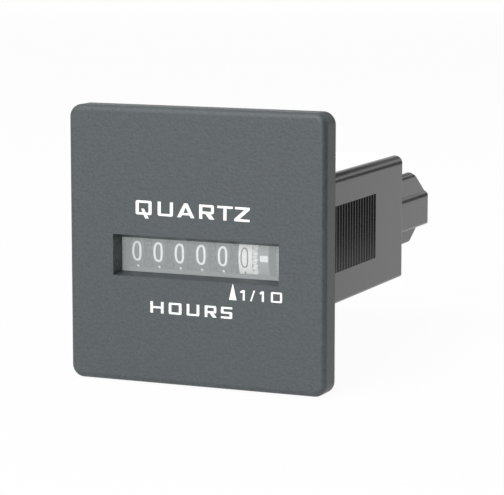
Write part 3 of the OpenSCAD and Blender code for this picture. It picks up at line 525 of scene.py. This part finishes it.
class HOURMETER_OT_housing(bpy.types.Operator):
    """Finishes the bezel, the lens, the body and the terminals."""
    bl_idname = "hourmeter.housing"
    bl_label = "Housing finishes"

    def execute(self, context):
        colours = props().colours
        # Spark-eroded mould: a fine, even grain that scatters the light, with a few brighter specks
        dress(moulded("Grained ABS", tuple(colours.bezel), 0.5, 0.5, 0.07, mottle=0.2, gloss=0.7), "bezel")
        # Polished mould: near-black and mirror-like, so it shows the room more than its own colour
        dress(moulded("Polished ABS", tuple(colours.case), 0.17, 6.0, 0.004, mottle=0.03, ior=1.53), "case")
        # Frosted lens, with a painted glow that keeps its veil evenly bright
        dress(frosted_acrylic(tuple(colours.lens)), "lens")
        # The matt skin scatters light onwards, so the wheels behind it stay lit
        NODES["lens"].visible_shadow = NODES["lens"].visible_diffuse = False
        # Thin tin over brass: pale, with drawn lines along the strip
        dress(metal("Tinned brass", linear("#d9cfae"), 0.28, 0.12, (1.0, 0.08, 1.0)),
              "terminal_left", "terminal_right")
        return {"FINISHED"}


class HOURMETER_OT_movement(bpy.types.Operator):
    """Finishes the wheels, the gears, the motor and the board."""
    bl_idname = "hourmeter.movement"
    bl_label = "Movement finishes"

    def execute(self, context):
        colours, marks = props().colours, props().marks
        # Acetal: waxy and smooth, a soft sheen without a clear reflection
        dress(moulded("Black acetal", tuple(colours.wheel), 0.45, 0.6, 0.01, mottle=0.03),
              *["number_wheel_%d" % (i + 1) for i in range(len(NUMBER_WHEELS))])
        dress(moulded("White acetal", tuple(colours.tenths), 0.42, 0.6, 0.01, mottle=0.02), "tenths_wheel")
        edge_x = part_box("run_indicator")[0].x + marks.band_w
        dress(banded_drum(tuple(colours.drum), tuple(colours.drum_band), edge_x), "run_indicator")
        # Undyed acetal: the same sheen in a milky cream
        dress(moulded("Natural acetal", linear("#e2dcc9"), 0.4, 0.6, 0.01, mottle=0.03),
              "drive_gear", *["carry_pinion_%d" % (i + 1) for i in range(len(NUMBER_WHEELS))])
        # Glass-filled plastic: dull, with the short fibres showing as specks
        dress(moulded("Glass-filled polyamide", linear("#3f4243"), 0.6, 0.3, 0.02, mottle=0.15),
              "counter_frame")
        # Undyed polyamide: cream, with a satin skin
        dress(moulded("Natural polyamide", linear("#ded6c3"), 0.45, 0.8, 0.01, mottle=0.04), "coil_bobbin")
        # Ground steel: bright, with lines round and along the shafts
        dress(metal("Ground steel", linear("#c6c9cc"), 0.22, 0.1, (0.1, 1.0, 1.0)),
              "wheel_shaft", "pinion_shaft", "drive_arbor", "rotor_pinion", "stator_screws")
        # Stamped and annealed sheet: grey and satin, its marks in no one direction
        dress(metal("Stamped soft iron", linear("#a8adb1"), 0.38, 0.2), "stator_plate", "coil_core")
        # Pressed and fired powder: dark grey and dull, finely speckled
        dress(moulded("Sintered ferrite", linear("#35353a"), 0.5, 0.15, 0.01, mottle=0.12), "rotor_magnet")
        dress(wound_copper(), "coil_winding")
        # Solder mask over woven glass: glossy green with a faint weave
        dress(moulded("Glass-fibre laminate", linear("#2a6a42"), 0.32, 0.8, 0.01, mottle=0.14),
              "circuit_board")
        # Epoxy moulded against a matt tool: black, dull and faintly gritty
        dress(moulded("Moulded epoxy", linear("#232426"), 0.55, 0.2, 0.008, mottle=0.1),
              "timer_chip", "diode")
        # Deep-drawn and plated: bright, with fine drawn lines
        dress(metal("Drawn can", linear("#c9cccf"), 0.3, 0.25, (0.2, 1.0, 1.0)), "quartz_crystal")
        # Film shrunk on by heat: smooth and glossy
        dress(moulded("Shrink sleeve", linear("#34396b"), 0.3, 2.0, 0.01, mottle=0.05), "capacitor")
        # Dipped lacquer: glossy, and a little uneven
        dress(moulded("Resistor lacquer", linear("#cbb78e"), 0.35, 0.7, 0.015, mottle=0.08), "resistor")
        return {"FINISHED"}


class HOURMETER_OT_face_print(bpy.types.Operator):
    """Prints the words, the pointer and the tenths mark on the bezel's face."""
    bl_idname = "hourmeter.face_print"
    bl_label = "Printing on the bezel"

    def execute(self, context):
        colours, marks = props().colours, props().marks
        # Pad-printed ink: opaque and matt, thin enough to follow the grain
        ink = moulded("White pad-printing ink", tuple(colours.ink_white), 0.5, 0.3, 0.004, mottle=0.02)
        title = set_line([("Q", 1.24, 0.47), ("U", 1.18, 0.32), ("A", 1.33, 0.36), ("R", 1.12, 0.26),
                          ("T", 1.16, 0.13), ("Z", 1.15, 0)], 0.24, 0.165)
        ink_on_face("upper_word", title, marks.title_h, marks.title_x, marks.title_z, marks.ink_t, ink,
                    marks.title_lean)
        unit = set_line([("H", 1.26, 0.49), ("O", 1.21, 0.49), ("U", 1.19, 0.51), ("R", 1.08, 0.43),
                         ("S", 1.06, 0)], 0.25, 0.17)
        ink_on_face("lower_word", unit, marks.unit_h, marks.unit_x, marks.unit_z, marks.ink_t, ink,
                    marks.unit_lean)
        part = set_line([("1", 0.46, 0.55), ("/", 0.52, 0.49), ("1", 0.42, 0.72), ("0", 1.15, 0)],
                        0.21, 0.16)
        ink_on_face("tenths_mark", part, marks.part_h, marks.part_x, marks.part_z, marks.ink_t, ink)
        pointer = [[(-0.26, -0.5), (0.26, -0.5), (0.02, 0.5), (-0.02, 0.5)]]
        ink_on_face("tenths_pointer", pointer, marks.pointer_h, marks.pointer_x, marks.pointer_z, marks.ink_t,
                    ink)
        return {"FINISHED"}


class HOURMETER_OT_wheel_digits(bpy.types.Operator):
    """Prints the ten digits round each wheel."""
    bl_idname = "hourmeter.wheel_digits"
    bl_label = "Digits on the wheels"

    def execute(self, context):
        colours, marks = props().colours, props().marks
        # Hot-stamped foil: flat and even, a little brighter than the wheel's plastic
        white = moulded("White stamped digits", tuple(colours.ink_white), 0.45, 0.4, 0.004, mottle=0.02)
        black = moulded("Black stamped digits", tuple(colours.ink_black), 0.45, 0.4, 0.004, mottle=0.05)
        ring = digit_ring("digits", marks.digit_w, marks.digit_stroke, white)
        for place, piece in zip(NUMBER_WHEELS, [ring] + own_copies(ring, len(NUMBER_WHEELS) - 1)):
            piece.name = piece.data.name = place + "_digits"
            on_wheel(piece, place)
        tenths = digit_ring("tenths_digits", marks.tenths_w, marks.tenths_stroke, black)
        on_wheel(tenths, "tenths")
        return {"FINISHED"}


class HOURMETER_OT_indicator_bars(bpy.types.Operator):
    """Prints the bars that show the run indicator turning."""
    bl_idname = "hourmeter.indicator_bars"
    bl_label = "Bars on the run indicator"

    def execute(self, context):
        colours, marks = props().colours, props().marks
        # Hot-stamped foil, as on the wheels: flat and even
        white = moulded("White indicator foil", tuple(colours.ink_white), 0.45, 0.4, 0.004, mottle=0.02)
        deselect()
        bpy.ops.mesh.primitive_plane_add(size=1.0)
        bar = bpy.context.view_layer.objects.active
        bpy.ops.object.mode_set(mode="EDIT")
        bpy.ops.transform.resize(value=(marks.bar_w, marks.bar_h, 1))
        bpy.ops.mesh.bevel(offset=marks.bar_r, segments=4, affect="VERTICES")
        bpy.ops.mesh.extrude_region_move(TRANSFORM_OT_translate={"value": (0, 0, marks.ink_t)})
        bpy.ops.object.mode_set(mode="OBJECT")
        clean(bar)
        cut_across(bar, marks.bar_h, 5)
        rim_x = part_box("run_indicator")[0].x + marks.bar_x
        bar.data.transform(Matrix.Translation((rim_x, 0, -INK_SINK)))
        bars = [bar] + own_copies(bar, marks.bars - 1)
        for i, piece in enumerate(bars):
            wrap(piece, 2 * math.pi * i / marks.bars)
        joined = join(bars, "indicator_bars", white)
        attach(joined, "indicator_group")
        return {"FINISHED"}


def seen_directly(tree):
    """Is 1 for what is seen directly, in a mirror or through glass, and 0 for what only lights the object."""
    rays = add_node(tree, "ShaderNodeLightPath")
    mirror = add_node(tree, "ShaderNodeMath", {0: rays.outputs["Is Glossy Ray"],
                                               1: rays.outputs["Is Transmission Ray"]}, operation="MAXIMUM")
    return add_node(tree, "ShaderNodeMath", {0: rays.outputs["Is Camera Ray"], 1: mirror.outputs[0]},
                    operation="MAXIMUM").outputs[0]


def lit_paper():
    """White paper, lit from below where it is seen, which keeps the shadow pale."""
    material, tree, shader = new_material("White paper")
    tree.nodes.remove(shader)
    paper = add_node(tree, "ShaderNodeBsdfDiffuse", Color=linear("#f6f6f6"))
    glow = add_node(tree, "ShaderNodeEmission", Color=(1, 1, 1, 1), Strength=1.0)
    share = add_node(tree, "ShaderNodeMapRange", {"Value": seen_directly(tree)}, To_Min=0.0, To_Max=0.95)
    blend = add_node(tree, "ShaderNodeMixShader", {0: share.outputs["Result"], 1: paper.outputs[0],
                                                   2: glow.outputs[0]})
    tree.links.new(blend.outputs[0], tree.nodes["Material Output"].inputs["Surface"])
    return material


def soft_lamp(name, place, size, power):
    """A softbox that faces the object."""
    data = bpy.data.lights.new(name, "AREA")
    data.shape = "RECTANGLE"
    data.size, data.size_y = size
    data.energy = power
    lamp = bpy.data.objects.new(name, data)
    turn = Vector(place).to_track_quat("Z", "Y").to_matrix().to_4x4()
    lamp.matrix_world = Matrix.Translation(place) @ turn
    lamp.visible_camera = False
    bpy.context.scene.collection.objects.link(lamp)


def dark_card(name, place, width, height, shade="#101010"):
    """A dark card that only reflections see, set round a glossy object to draw its edges."""
    deselect()
    bpy.ops.mesh.primitive_plane_add(size=1.0)
    card = bpy.context.view_layer.objects.active
    card.name = name
    turn = Vector((-place[0], -place[1], 0)).to_track_quat("Z", "Y").to_matrix().to_4x4()
    card.data.transform(Matrix.Translation(place) @ turn @ Matrix.Diagonal((width, height, 1, 1)))
    material, tree, shader = new_material("Matt card")
    set_node(tree, shader, Base_Color=linear(shade), Roughness=1.0)
    card.data.materials.append(material)
    card.visible_camera = card.visible_diffuse = card.visible_shadow = card.visible_transmission = False


class HOURMETER_OT_studio(bpy.types.Operator):
    """Sets the pale floor, the soft light and the camera."""
    bl_idname = "hourmeter.studio"
    bl_label = "Studio"

    def execute(self, context):
        studio = props().studio
        scene = context.scene
        az, el = studio.azimuth, studio.elevation
        back = Vector((math.sin(az) * math.cos(el), -math.cos(az) * math.cos(el), math.sin(el)))
        right = Vector((math.cos(az), math.sin(az), 0))
        up = back.cross(right)
        camera_data = bpy.data.cameras.new("camera")
        camera_data.sensor_width = 36
        camera_data.lens = studio.lens
        camera_data.clip_start = 0.01
        camera = bpy.data.objects.new("camera", camera_data)
        turn = Matrix((right, up, back)).transposed().to_4x4()
        stand = back * studio.distance + right * studio.right + up * studio.up
        camera.matrix_world = Matrix.Translation(stand) @ turn
        scene.collection.objects.link(camera)
        scene.camera = camera

        deselect()
        floor_side, floor_gap = 8.0, 0.2 * MM
        bpy.ops.mesh.primitive_plane_add(size=floor_side)
        floor = bpy.context.view_layer.objects.active
        floor.name = "floor"
        floor.data.transform(Matrix.Translation((0, 0, FLOOR_Z - floor_gap)))
        floor.data.materials.append(lit_paper())

        world = bpy.data.worlds.new("room")
        world.use_nodes = True
        scene.world = world
        tree = world.node_tree
        strength = add_node(tree, "ShaderNodeMapRange", {"Value": seen_directly(tree)}, To_Min=studio.sky,
                            To_Max=1.0)
        sky = tree.nodes["Background"]
        sky.inputs["Color"].default_value = (1, 1, 1, 1)
        tree.links.new(strength.outputs["Result"], sky.inputs["Strength"])

        # Places and sizes in metres: the lamps, then the cards
        soft_lamp("key_light", (-0.12, -1.2, 0.4), (0.5, 0.5), studio.key)
        soft_lamp("top_light", (-0.1, -0.65, 1.0), (0.6, 0.6), studio.top)
        soft_lamp("back_light", (-0.62, 1.4, 0.13), (0.9, 0.12), studio.back)
        # Behind and high up, low behind on the right, beside the ribs, and round the bezel's right edge
        dark_card("rear_card", (0, 1.5, 0.84), 3.0, 0.6, "#202020")
        dark_card("low_card", (0.3, 0.62, 0.085), 0.4, 0.13, "#8a8a8a")
        dark_card("side_card", (0.16, 0.03, 0.02), 0.2, 0.09)
        dark_card("edge_card", (0.068, -0.056, 0.0), 0.08, 0.1)
        dark_card("corner_card", (0.06, -0.035, 0.075), 0.1, 0.1)
        scene.view_settings.view_transform = "Standard"
        return {"FINISHED"}


STEPS = (HOURMETER_OT_housing, HOURMETER_OT_movement, HOURMETER_OT_face_print, HOURMETER_OT_wheel_digits,
         HOURMETER_OT_indicator_bars, HOURMETER_OT_studio)


class HOURMETER_PT_panel(bpy.types.Panel):
    """Lists the steps and what can be set."""
    bl_label = "Hour meter"
    bl_idname = "HOURMETER_PT_panel"
    bl_space_type = "VIEW_3D"
    bl_region_type = "UI"
    bl_category = "Hour meter"

    def draw(self, context):
        settings = context.scene.hour_meter
        for step in STEPS:
            self.layout.operator(step.bl_idname)
        for group in (settings.colours, settings.marks, settings.studio):
            column = self.layout.column(align=True)
            for name in group.__annotations__:
                column.prop(group, name)


CLASSES = (HourMeterColours, HourMeterPrint, HourMeterStudio, HourMeterProps) + STEPS + (HOURMETER_PT_panel,)


def register():
    """Adds the classes and the scene's settings to Blender."""
    for cls in CLASSES:
        bpy.utils.register_class(cls)
    bpy.types.Scene.hour_meter = PointerProperty(type=HourMeterProps)


def unregister():
    """Takes them out again."""
    del bpy.types.Scene.hour_meter
    for cls in reversed(CLASSES):
        bpy.utils.unregister_class(cls)


def main():
    """Builds everything in order."""
    register()
    bpy.ops.hourmeter.housing()
    bpy.ops.hourmeter.movement()
    bpy.ops.hourmeter.face_print()
    bpy.ops.hourmeter.wheel_digits()
    bpy.ops.hourmeter.indicator_bars()
    bpy.ops.hourmeter.studio()


if __name__ == "__main__":
    main()
